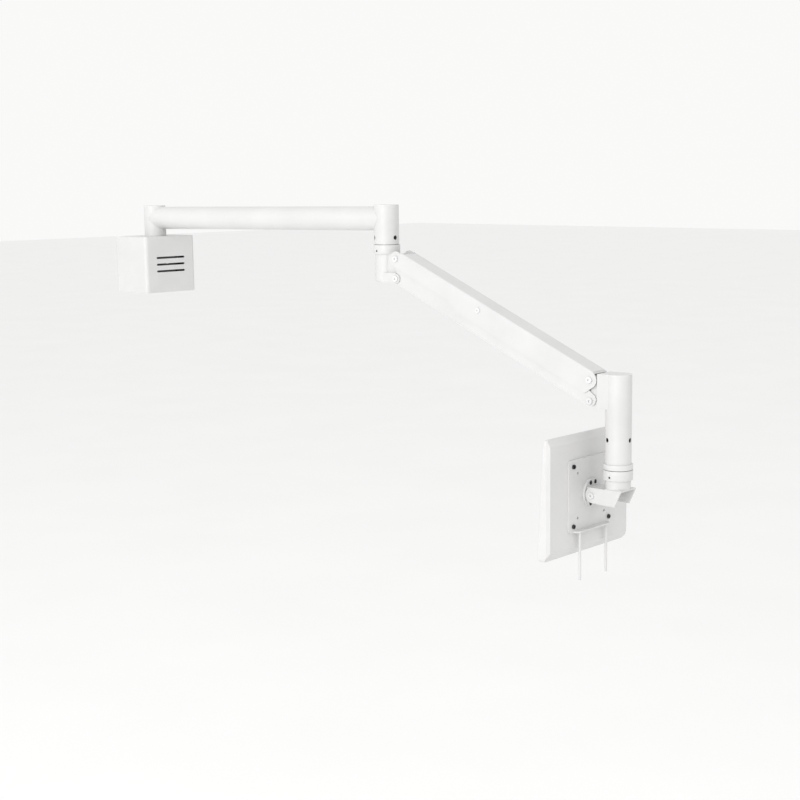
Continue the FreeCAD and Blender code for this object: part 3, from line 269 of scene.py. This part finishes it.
def half_extent(node, axis):
    """Half of a node's box along one axis, which is the radius of a round node."""
    lowest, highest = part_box(node)
    return (highest[axis] - lowest[axis]) / 2


post_at = Vector(JOINTS["boom_swivel"]["pos_m"])
elbow_at = Vector(JOINTS["elbow_swivel"]["pos_m"])
boom_way = (elbow_at - post_at).normalized()
bead_ring = half_extent("boom_tube", 2) - WELD_SINK
weld_bead("post_weld", "boom", post_at, bead_ring, half_extent("post_cap", 0), boom_way)
weld_bead("sleeve_weld", "boom", elbow_at, bead_ring, half_extent("elbow_cap", 0), -boom_way)


# ---- camera ------------------------------------------------------------------

CAMERA_AT = Vector((-1.7219, -2.5143, 0.1654))
YAW, PITCH, ROLL = 0.7687, 0.1487, -0.0131
FOCAL_PIXELS, IMAGE_PIXELS, SENSOR = 1500, 800, 36
CLIP_END = 50


def build_camera():
    ahead = Vector((math.sin(YAW) * math.cos(PITCH), math.cos(YAW) * math.cos(PITCH), -math.sin(PITCH)))
    level = Vector((math.cos(YAW), -math.sin(YAW), 0))
    down = -level.cross(ahead)
    right = math.cos(ROLL) * level - math.sin(ROLL) * down
    up = -(math.sin(ROLL) * level + math.cos(ROLL) * down)
    data = bpy.data.cameras.new("camera")
    data.lens = FOCAL_PIXELS * SENSOR / IMAGE_PIXELS
    data.sensor_width = SENSOR
    data.clip_end = CLIP_END
    camera = bpy.data.objects.new("camera", data)
    bpy.context.scene.collection.objects.link(camera)
    turn = Matrix((right, up, -ahead)).transposed()
    camera.matrix_world = Matrix.Translation(CAMERA_AT) @ turn.to_4x4()
    bpy.context.scene.camera = camera


build_camera()


# ---- stage and light ---------------------------------------------------------

lowest, highest = cad_box
middle = (Vector(lowest) + Vector(highest)) / 2
FLOOR_DROP, FLOOR_SIZE, FLOOR_CELLS = 0.75, 30, 4
FLOOR_FINISH = dict(low=grey(0.9), high=grey(0.915), roughness=0.85, grain=40, depth=0.0001, cloud=2)
LIGHTS = {
    "key": dict(offset=(-6.0, -1.4, 1.8), size=4.4, power=208),
    "skim": dict(offset=(0.2, -2.8, 1.6), size=2.4, power=6),
}
WORLD_COLOUR = (1, 1, 0.992, 1)
WORLD_STRENGTH = 0.95


def build_floor():
    mesh = bpy.data.meshes.new("floor")
    bm = bmesh.new()
    bmesh.ops.create_grid(bm, x_segments=FLOOR_CELLS, y_segments=FLOOR_CELLS, size=FLOOR_SIZE)
    bm.to_mesh(mesh)
    bm.free()
    floor = bpy.data.objects.new("floor", mesh)
    floor.location = (middle.x, middle.y, lowest[2] - FLOOR_DROP)
    bpy.context.scene.collection.objects.link(floor)
    mesh.materials.append(grained("pale_floor", **FLOOR_FINISH))


def area_light(name, offset, size, power):
    """Square light at an offset from the object's middle, aimed at that middle."""
    data = bpy.data.lights.new(name, "AREA")
    data.energy = power
    data.size = size
    lamp = bpy.data.objects.new(name, data)
    lamp.location = middle + Vector(offset)
    lamp.rotation_euler = (-Vector(offset)).to_track_quat("-Z", "Y").to_euler()
    bpy.context.scene.collection.objects.link(lamp)


def build_world():
    world = bpy.data.worlds.new("studio")
    world.use_nodes = True
    background = world.node_tree.nodes["Background"]
    background.inputs["Color"].default_value = WORLD_COLOUR
    background.inputs["Strength"].default_value = WORLD_STRENGTH
    bpy.context.scene.world = world
    bpy.context.scene.view_settings.view_transform = "Standard"


build_floor()
for name, light in LIGHTS.items():
    area_light(name, **light)
build_world()
